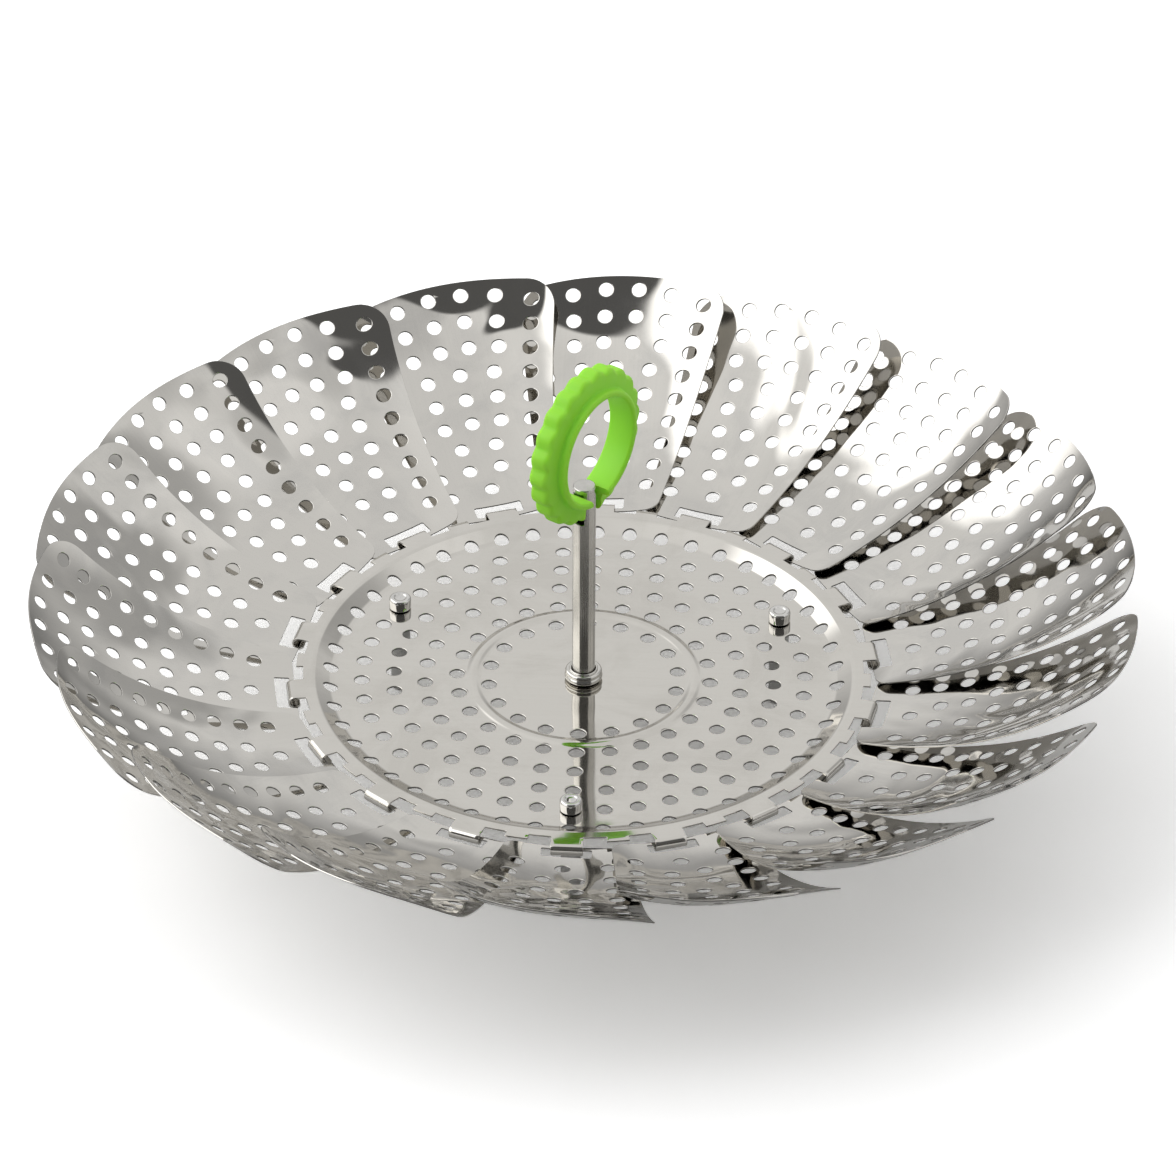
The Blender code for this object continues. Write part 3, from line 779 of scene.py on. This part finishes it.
def turn_piece(name, profile, roundings=(), place=(0, 0, 0), steps=48):
    """Turns a line of (radius, height) points about an upright axis, with some of its corners
    rounded. A rounding is (radius, height, reach, steps)."""
    piece = start_piece(name)
    draw_line([(place[0] + radius, place[1], height) for radius, height in profile])
    bpy.ops.mesh.select_all(action="SELECT")
    bpy.ops.mesh.remove_doubles(threshold=MERGE)
    for radius, height, reach, arc_steps in roundings:
        corner = Vector((place[0] + radius, place[1], height))
        pick(lambda at: (at - corner).length < MERGE)
        bpy.ops.mesh.bevel(offset=reach, segments=arc_steps, affect="VERTICES")
    bpy.ops.mesh.select_all(action="SELECT")
    bpy.ops.mesh.spin(
        angle=math.tau, steps=steps, center=(place[0], place[1], 0), axis=(0, 0, 1)
    )
    bpy.ops.mesh.select_all(action="SELECT")
    bpy.ops.mesh.remove_doubles(threshold=MERGE)
    bpy.ops.mesh.normals_make_consistent(inside=False)
    leave_edit()
    bpy.ops.object.shade_smooth_by_angle(angle=SMOOTHED_EDGE)
    return piece


leg_profile = (
    (0, LEG_BORE_BOTTOM),
    (SCREW_HOLE_RADIUS, LEG_BORE_BOTTOM),
    (SCREW_HOLE_RADIUS, LEG_TOP),
    (LEG_RADIUS, LEG_TOP),
    (LEG_RADIUS, 0),
    (0, 0),
)
screw_profile = (
    (0, RECESS_BOTTOM),
    (RECESS_BOTTOM_RADIUS, RECESS_BOTTOM),
    (RECESS_RADIUS, SCREW_HEAD_TOP),
    (SCREW_HEAD_RADIUS, SCREW_HEAD_TOP),
    (SCREW_HEAD_RADIUS, SCREW_HEAD_BOTTOM),
    (SCREW_SHANK_RADIUS, SCREW_HEAD_BOTTOM),
    (SCREW_SHANK_RADIUS, SCREW_END),
    (0, SCREW_END),
)
leg_steel = make_steel(
    "drawn_leg_steel",
    clean_colour=(0.58, 0.575, 0.56, 1),
    clouded_colour=(0.5, 0.495, 0.48, 1),
    clean_roughness=0.18,
    clouded_roughness=0.3,
    clouds_per_metre=140,
    streaks_per_metre=(2400, 2400, 60),
    streak_depth=0.000002,
    wave_depth=0.00001,
)
screw_steel = make_steel(
    "turned_screw_steel",
    clean_colour=(0.66, 0.65, 0.63, 1),
    clouded_colour=(0.58, 0.57, 0.55, 1),
    clean_roughness=0.05,
    clouded_roughness=0.1,
    clouds_per_metre=260,
    streaks_per_metre=(300, 300, 4000),
    streak_depth=0.000001,
    wave_depth=0.00001,
)
for number, azimuth in enumerate(LEG_AZIMUTHS, start=1):
    place = at_azimuth(LEG_RING_RADIUS, azimuth, 0)
    leg = turn_piece(
        f"leg_{number}_rod",
        leg_profile,
        ((LEG_RADIUS, 0, 0.0005, 4), (LEG_RADIUS, LEG_TOP, 0.0002, 3)),
        place,
    )
    finish_with(leg, leg_steel)
    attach(leg, "base")
    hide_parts(f"leg_{number}")
    screw = turn_piece(
        f"leg_screw_{number}_turned",
        screw_profile,
        (
            (SCREW_HEAD_RADIUS, SCREW_HEAD_TOP, 0.0007, 6),
            (SCREW_HEAD_RADIUS, SCREW_HEAD_BOTTOM, 0.00015, 2),
            (RECESS_RADIUS, SCREW_HEAD_TOP, 0.0002, 3),
            (RECESS_BOTTOM_RADIUS, RECESS_BOTTOM, 0.0002, 3),
        ),
        place,
    )
    finish_with(screw, screw_steel)
    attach(screw, "base")
    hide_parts(f"leg_screw_{number}")

# Post collar
# A spun collar of stainless steel round the post's foot: a thin lip that hugs the tube, and two
# rolled rings, one on the other.
COLLAR_BOTTOM = 0.0248
COLLAR_BORE_RADIUS = 0.0031
COLLAR_FOOT_RADIUS = 0.0041
COLLAR_LIP_FOOT = COLLAR_BOTTOM + 0.0024
# Middles of the rounded lip and of the upper and lower ring's sections, and their roundings
LIP_MIDDLE = (0.00332, COLLAR_BOTTOM + 0.0028)
LIP_ROUNDING = 0.0003
UPPER_MIDDLE = (0.00395, COLLAR_BOTTOM + 0.0021)
LOWER_MIDDLE = (0.00408, COLLAR_BOTTOM + 0.00085)
ROLL_ROUNDING = 0.00072


def arc_points(centre, radius, start, end, steps):
    """Points of an arc in a (radius, height) profile, from one angle in degrees to another."""
    angles = np.radians(np.linspace(start, end, steps + 1))
    return [
        (centre[0] + radius * math.cos(angle), centre[1] + radius * math.sin(angle))
        for angle in angles
    ]


collar_profile = [(COLLAR_BORE_RADIUS, COLLAR_BOTTOM), (COLLAR_BORE_RADIUS, COLLAR_LIP_FOOT)]
collar_profile += arc_points(LIP_MIDDLE, LIP_ROUNDING, 200, 0, 10)
collar_profile += arc_points(UPPER_MIDDLE, ROLL_ROUNDING, 112, -48, 12)
collar_profile += arc_points(LOWER_MIDDLE, ROLL_ROUNDING, 40, -90, 10)
collar_profile += [(COLLAR_FOOT_RADIUS, COLLAR_BOTTOM), (COLLAR_BORE_RADIUS, COLLAR_BOTTOM)]
collar = turn_piece("post_collar_spun", collar_profile, steps=64)
collar_steel = make_steel(
    "spun_collar_steel",
    clean_colour=(0.62, 0.605, 0.57, 1),
    clouded_colour=(0.52, 0.51, 0.48, 1),
    clean_roughness=0.05,
    clouded_roughness=0.12,
    clouds_per_metre=300,
    streaks_per_metre=(90, 90, 5000),
    streak_depth=0.0000004,
    wave_depth=0.00001,
)
finish_with(collar, collar_steel)
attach(collar, "base")
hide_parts("post_collar")

# Guide pin and pin washer
# The steel pin inside the tube: its head keeps the tube on, and its thin foot goes through the
# plate and is riveted over a washer below.
PIN_HEAD_RADIUS = 0.0022
PIN_RADIUS = 0.0017
PIN_FOOT_RADIUS = 0.0011
PIN_BOTTOM, PIN_TOP = (corner[2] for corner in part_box("guide_pin"))
PIN_HEAD_BOTTOM = PIN_TOP - 0.0025
WASHER_BORE_RADIUS = 0.0014
WASHER_RADIUS = 0.0040
WASHER_BOTTOM, WASHER_TOP = (corner[2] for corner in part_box("pin_washer"))
RIVET_TOP = WASHER_BOTTOM - 0.0003
pin_profile = (
    (0, PIN_TOP),
    (PIN_HEAD_RADIUS, PIN_TOP),
    (PIN_HEAD_RADIUS, PIN_HEAD_BOTTOM),
    (PIN_RADIUS, PIN_HEAD_BOTTOM),
    (PIN_RADIUS, COLLAR_BOTTOM),
    (PIN_FOOT_RADIUS, COLLAR_BOTTOM),
    (PIN_FOOT_RADIUS, RIVET_TOP),
    (PIN_HEAD_RADIUS, RIVET_TOP),
    (PIN_HEAD_RADIUS, PIN_BOTTOM),
    (0, PIN_BOTTOM),
)
pin = turn_piece(
    "guide_pin_turned",
    pin_profile,
    ((PIN_HEAD_RADIUS, PIN_TOP, 0.0004, 4), (PIN_HEAD_RADIUS, PIN_BOTTOM, 0.0007, 6)),
)
pin_steel = make_steel(
    "plain_pin_steel",
    clean_colour=(0.5, 0.49, 0.47, 1),
    clouded_colour=(0.4, 0.39, 0.37, 1),
    clean_roughness=0.28,
    clouded_roughness=0.42,
    clouds_per_metre=180,
    streaks_per_metre=(300, 300, 2600),
    streak_depth=0.000003,
    wave_depth=0.00002,
)
finish_with(pin, pin_steel)
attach(pin, "base")
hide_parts("guide_pin")
washer_profile = (
    (WASHER_BORE_RADIUS, WASHER_TOP),
    (WASHER_RADIUS, WASHER_TOP),
    (WASHER_RADIUS, WASHER_BOTTOM),
    (WASHER_BORE_RADIUS, WASHER_BOTTOM),
    (WASHER_BORE_RADIUS, WASHER_TOP),
)
washer = turn_piece(
    "pin_washer_stamped",
    washer_profile,
    ((WASHER_RADIUS, WASHER_TOP, 0.0002, 3), (WASHER_RADIUS, WASHER_BOTTOM, 0.0002, 3)),
)
finish_with(washer, pin_steel)
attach(washer, "base")
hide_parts("pin_washer")

# Lift tube
# A thin drawn steel tube with a closed flat top. It slides up over the guide pin, whose head
# stops its crimped foot, and has a window on both sides for the ring's neck.
TUBE_RADIUS = 0.0029
TUBE_INNER_RADIUS = 0.0025
TUBE_TOP = 0.0834
TUBE_CAP = 0.0009
CRIMP_RADIUS = 0.0020
CRIMP_TOP = 0.0263
WINDOW_WIDTH = 0.0033
WINDOW_TOP = 0.0822
WINDOW_LENGTH = 0.0092
RING_AZIMUTH = math.radians(58)
tube_profile = (
    (0, TUBE_TOP),
    (TUBE_RADIUS, TUBE_TOP),
    (TUBE_RADIUS, COLLAR_BOTTOM),
    (CRIMP_RADIUS, COLLAR_BOTTOM),
    (CRIMP_RADIUS, CRIMP_TOP),
    (TUBE_INNER_RADIUS, CRIMP_TOP),
    (TUBE_INNER_RADIUS, TUBE_TOP - TUBE_CAP),
    (0, TUBE_TOP - TUBE_CAP),
)
tube = turn_piece(
    "lift_tube_drawn",
    tube_profile,
    ((TUBE_RADIUS, TUBE_TOP, 0.0004, 5), (TUBE_RADIUS, COLLAR_BOTTOM, 0.0003, 3)),
    steps=64,
)
window_punch = make_block(
    (0, 0, WINDOW_TOP - WINDOW_LENGTH / 2),
    (TUBE_RADIUS * 4, WINDOW_WIDTH, WINDOW_LENGTH),
    RING_AZIMUTH,
)
cut_away(tube, window_punch)
bpy.ops.object.shade_smooth_by_angle(angle=SMOOTHED_EDGE)
tube_steel = make_steel(
    "drawn_tube_steel",
    clean_colour=(0.62, 0.605, 0.575, 1),
    clouded_colour=(0.54, 0.53, 0.5, 1),
    clean_roughness=0.14,
    clouded_roughness=0.2,
    clouds_per_metre=70,
    streaks_per_metre=(60, 60, 9000),
    streak_depth=0.000001,
    wave_depth=0.00001,
)
# Its polishing runs round it, so what it mirrors is blurred along the tube and sharp across it
shader = tube_steel.node_tree.nodes["Principled BSDF"]
shader.inputs["Anisotropic"].default_value = 1
shader.inputs["Anisotropic Rotation"].default_value = 0.25
finish_with(tube, tube_steel)
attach(tube, "lift_tube")
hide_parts("lift_tube")

# Lift ring
# A ring of bright green silicone, moulded in one piece: a scalloped outer edge, a dished face, a
# raised lip round a wide smooth bore, and a neck that closes the ring through the tube's window.
RING_NECK_HEIGHT = 0.0780
RING_CENTRE = Vector((0, 0, RING_NECK_HEIGHT + 0.0176))
RING_OUTER = 0.02078
RING_STEP = 0.0158
RING_INNER = 0.0140
RING_HALF_THICKNESS = 0.0026
LIP_FRONT = -0.0052
LIP_FOOT = -0.0030
SCALLOP_COUNT = 22
SCALLOP_STEPS = 10
SCALLOP_DEPTH = 0.0014
SCALLOP_START = RING_STEP + 0.001
SCALLOP_SHARPNESS = 0.06
RING_HALF_GAP = 0.0033
GAP_CUT_RADIUS = 0.0125
NECK_RADIUS = 0.00135
NECK_LENGTH = 0.0100
# Its section as (radius, across) places, each with how far its corner is rounded
ring_section = (
    (RING_INNER, LIP_FRONT, 0.0008),
    (RING_STEP, LIP_FRONT, 0.0009),
    (RING_STEP, LIP_FOOT, 0.0006),
    (RING_OUTER, -RING_HALF_THICKNESS, 0.0013),
    (RING_OUTER, RING_HALF_THICKNESS, 0.0013),
    (RING_INNER, RING_HALF_THICKNESS, 0.0008),
)
ring = start_piece("lift_ring_moulded")
corners = [Vector((radius, across, 0)) for radius, across, rounding in ring_section]
draw_line(corners + corners[:1])
bpy.ops.mesh.select_all(action="SELECT")
bpy.ops.mesh.remove_doubles(threshold=MERGE)
for corner, (radius, across, rounding) in zip(corners, ring_section):
    pick(lambda at: (at - corner).length < MERGE)
    bpy.ops.mesh.bevel(offset=rounding, segments=6, affect="VERTICES")
bpy.ops.mesh.select_all(action="SELECT")
bpy.ops.mesh.spin(
    angle=math.tau, steps=SCALLOP_COUNT * SCALLOP_STEPS, center=(0, 0, 0), axis=(0, 1, 0)
)
bpy.ops.mesh.select_all(action="SELECT")
bpy.ops.mesh.remove_doubles(threshold=MERGE)
bpy.ops.mesh.normals_make_consistent(inside=False)
leave_edit()
for point in ring.data.vertices:
    radius = math.hypot(point.co.x, point.co.z)
    share = min(max((radius - SCALLOP_START) / (RING_OUTER - SCALLOP_START), 0), 1)
    turn = SCALLOP_COUNT / 2 * math.atan2(point.co.z, point.co.x)
    wave = 1 - math.sqrt((math.cos(turn) ** 2 + SCALLOP_SHARPNESS) / (1 + SCALLOP_SHARPNESS))
    shrink = 1 - SCALLOP_DEPTH * wave * share / radius
    point.co.x *= shrink
    point.co.z *= shrink
ring.location = RING_CENTRE
ring.rotation_euler = (0, 0, RING_AZIMUTH)
bpy.ops.object.transform_apply(location=True, rotation=True, scale=True)
gap_cutter = make_block(
    (0, 0, RING_CENTRE.z - RING_OUTER),
    (RING_HALF_GAP * 2, RING_OUTER, (RING_OUTER - GAP_CUT_RADIUS) * 2),
    RING_AZIMUTH,
)
cut_away(ring, gap_cutter)
bpy.ops.object.select_all(action="DESELECT")
bpy.ops.mesh.primitive_cylinder_add(
    vertices=24,
    radius=NECK_RADIUS,
    depth=NECK_LENGTH,
    location=(0, 0, RING_NECK_HEIGHT),
    rotation=(0, math.radians(90), RING_AZIMUTH),
)
neck = bpy.context.object
bpy.ops.object.transform_apply(location=True, rotation=True, scale=True)
use_modifier(ring, "BOOLEAN", object=neck, operation="UNION", solver="MANIFOLD")
bpy.data.objects.remove(neck, do_unlink=True)
bpy.ops.object.shade_smooth_by_angle(angle=math.radians(40))
silicone, nodes, links = new_material("green_silicone")
shader = nodes["Principled BSDF"]
shader.inputs["Specular IOR Level"].default_value = 0.4
shader.inputs["Subsurface Weight"].default_value = 0.4
shader.inputs["Subsurface Radius"].default_value = (0.8, 1, 0.2)
shader.inputs["Subsurface Scale"].default_value = 0.003
place = nodes.new("ShaderNodeTexCoord")
mottle = nodes.new("ShaderNodeTexNoise")
mottle.inputs["Scale"].default_value = 110
mottle.inputs["Detail"].default_value = 4
links.new(place.outputs["Object"], mottle.inputs["Vector"])
green = nodes.new("ShaderNodeMix")
green.data_type = "RGBA"
green.inputs[6].default_value = (0.34, 0.84, 0.04, 1)
green.inputs[7].default_value = (0.38, 0.88, 0.055, 1)
links.new(mottle.outputs["Fac"], green.inputs["Factor"])
links.new(green.outputs[2], shader.inputs["Base Color"])
satin = nodes.new("ShaderNodeMapRange")
satin.inputs["To Min"].default_value = 0.42
satin.inputs["To Max"].default_value = 0.56
links.new(mottle.outputs["Fac"], satin.inputs["Value"])
links.new(satin.outputs["Result"], shader.inputs["Roughness"])
skin = nodes.new("ShaderNodeTexNoise")
skin.inputs["Scale"].default_value = 2600
skin.inputs["Detail"].default_value = 2
links.new(place.outputs["Object"], skin.inputs["Vector"])
fine_skin = nodes.new("ShaderNodeBump")
fine_skin.inputs["Distance"].default_value = 0.000008
links.new(skin.outputs["Fac"], fine_skin.inputs["Height"])
links.new(fine_skin.outputs["Normal"], shader.inputs["Normal"])
finish_with(ring, silicone)
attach(ring, "lift_ring")
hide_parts("lift_ring")

# Studio: a plain pale floor and soft light
bpy.ops.object.select_all(action="DESELECT")
bpy.ops.mesh.primitive_plane_add(size=6, location=(0, 0, 0))
floor = bpy.context.object
floor.name = "studio_floor"
paper, nodes, links = new_material("studio_paper")
nodes.remove(nodes["Principled BSDF"])
paper_shader = nodes.new("ShaderNodeBsdfDiffuse")
links.new(paper_shader.outputs["BSDF"], nodes["Material Output"].inputs["Surface"])
paths = nodes.new("ShaderNodeLightPath")
paper_tone = nodes.new("ShaderNodeMix")
paper_tone.data_type = "RGBA"
links.new(paths.outputs["Is Camera Ray"], paper_tone.inputs["Factor"])
paper_tone.inputs[6].default_value = (0.85, 0.85, 0.85, 1)
paper_tone.inputs[7].default_value = (1.5, 1.5, 1.5, 1)
links.new(paper_tone.outputs[2], paper_shader.inputs["Color"])
floor.data.materials.append(paper)

world = bpy.data.worlds.new("soft_room")
world.use_nodes = True
bpy.context.scene.world = world
sky = world.node_tree.nodes
sky_links = world.node_tree.links
background = sky["Background"]
background.inputs["Strength"].default_value = 1
direction = sky.new("ShaderNodeTexCoord")


def room_patch(azimuth, elevation, inner, outer):
    """A mask that is 1 within inner degrees of a direction of the room and 0 beyond outer."""
    azimuth = math.radians(azimuth)
    elevation = math.radians(elevation)
    flat = math.cos(elevation)
    middle = (flat * math.sin(azimuth), -flat * math.cos(azimuth), math.sin(elevation))
    near = sky.new("ShaderNodeVectorMath")
    near.operation = "DOT_PRODUCT"
    sky_links.new(direction.outputs["Generated"], near.inputs[0])
    near.inputs[1].default_value = middle
    fade = sky.new("ShaderNodeMapRange")
    fade.interpolation_type = "SMOOTHSTEP"
    fade.inputs["From Min"].default_value = math.cos(math.radians(outer))
    fade.inputs["From Max"].default_value = math.cos(math.radians(inner))
    sky_links.new(near.outputs["Value"], fade.inputs["Value"])
    return fade.outputs["Result"]


# The room's tones, each laid over the ones before: bright above, less so on the right with a few
# uneven places, a wide soft light on the left, and a dark front beside the camera
ROOM_TONES = (
    (0, 90, 10, 40, 1.04),
    (105, 40, 40, 70, 0.88),
    (132, 33, 6, 22, 0.5),
    (78, 40, 5, 14, 0.68),
    (102, 60, 6, 15, 1.02),
    (60, 66, 4, 12, 0.72),
    (-66, 40, 18, 27, 2.3),
    (-108, 38, 18, 27, 2.3),
    (6, 35, 37, 40, 0.12),
)
tone = None
for azimuth, elevation, inner, outer, level in ROOM_TONES:
    laid = sky.new("ShaderNodeMix")
    laid.data_type = "RGBA"
    sky_links.new(room_patch(azimuth, elevation, inner, outer), laid.inputs["Factor"])
    laid.inputs[6].default_value = (0.92, 0.92, 0.92, 1)
    laid.inputs[7].default_value = (level, level, level, 1)
    if tone:
        sky_links.new(tone, laid.inputs[6])
    tone = laid.outputs[2]
# The room is dimmer towards the horizon, where its far sides and its furniture stand
height = sky.new("ShaderNodeSeparateXYZ")
sky_links.new(direction.outputs["Generated"], height.inputs["Vector"])
dimmed = sky.new("ShaderNodeMapRange")
dimmed.inputs["From Min"].default_value = 0
dimmed.inputs["From Max"].default_value = 0.42
dimmed.inputs["To Min"].default_value = 0.2
sky_links.new(height.outputs["Z"], dimmed.inputs["Value"])
room = sky.new("ShaderNodeMix")
room.data_type = "RGBA"
room.blend_type = "MULTIPLY"
room.inputs["Factor"].default_value = 1
sky_links.new(tone, room.inputs[6])
sky_links.new(dimmed.outputs["Result"], room.inputs[7])
sky_links.new(room.outputs[2], background.inputs["Color"])

scene = bpy.context.scene
scene.view_settings.view_transform = "Standard"
CAMERA_AZIMUTH = math.radians(3.0)
CAMERA_ELEVATION = math.radians(34.985)
CAMERA_DISTANCE = 2.066
CAMERA_ROLL = math.radians(0.303)
CAMERA_LENS = 250.3
# How far the picture's middle lies beside and above the middle of the plate
AIM_RIGHT = 0.001132
AIM_UP = 0.02268
back = Vector(
    (
        math.sin(CAMERA_AZIMUTH) * math.cos(CAMERA_ELEVATION),
        -math.cos(CAMERA_AZIMUTH) * math.cos(CAMERA_ELEVATION),
        math.sin(CAMERA_ELEVATION),
    )
)
level_right = Vector((math.cos(CAMERA_AZIMUTH), math.sin(CAMERA_AZIMUTH), 0))
level_up = back.cross(level_right)
right = level_right * math.cos(CAMERA_ROLL) + level_up * math.sin(CAMERA_ROLL)
up = level_up * math.cos(CAMERA_ROLL) - level_right * math.sin(CAMERA_ROLL)
camera = bpy.data.objects.new("camera", bpy.data.cameras.new("camera"))
scene.collection.objects.link(camera)
camera.data.lens = CAMERA_LENS
camera.data.sensor_width = 36
aim = Vector((0, 0, FLAT_TOP)) + right * AIM_RIGHT + up * AIM_UP
turn = Matrix((right, up, back)).transposed().to_4x4()
camera.matrix_world = Matrix.Translation(aim + back * CAMERA_DISTANCE) @ turn
scene.camera = camera
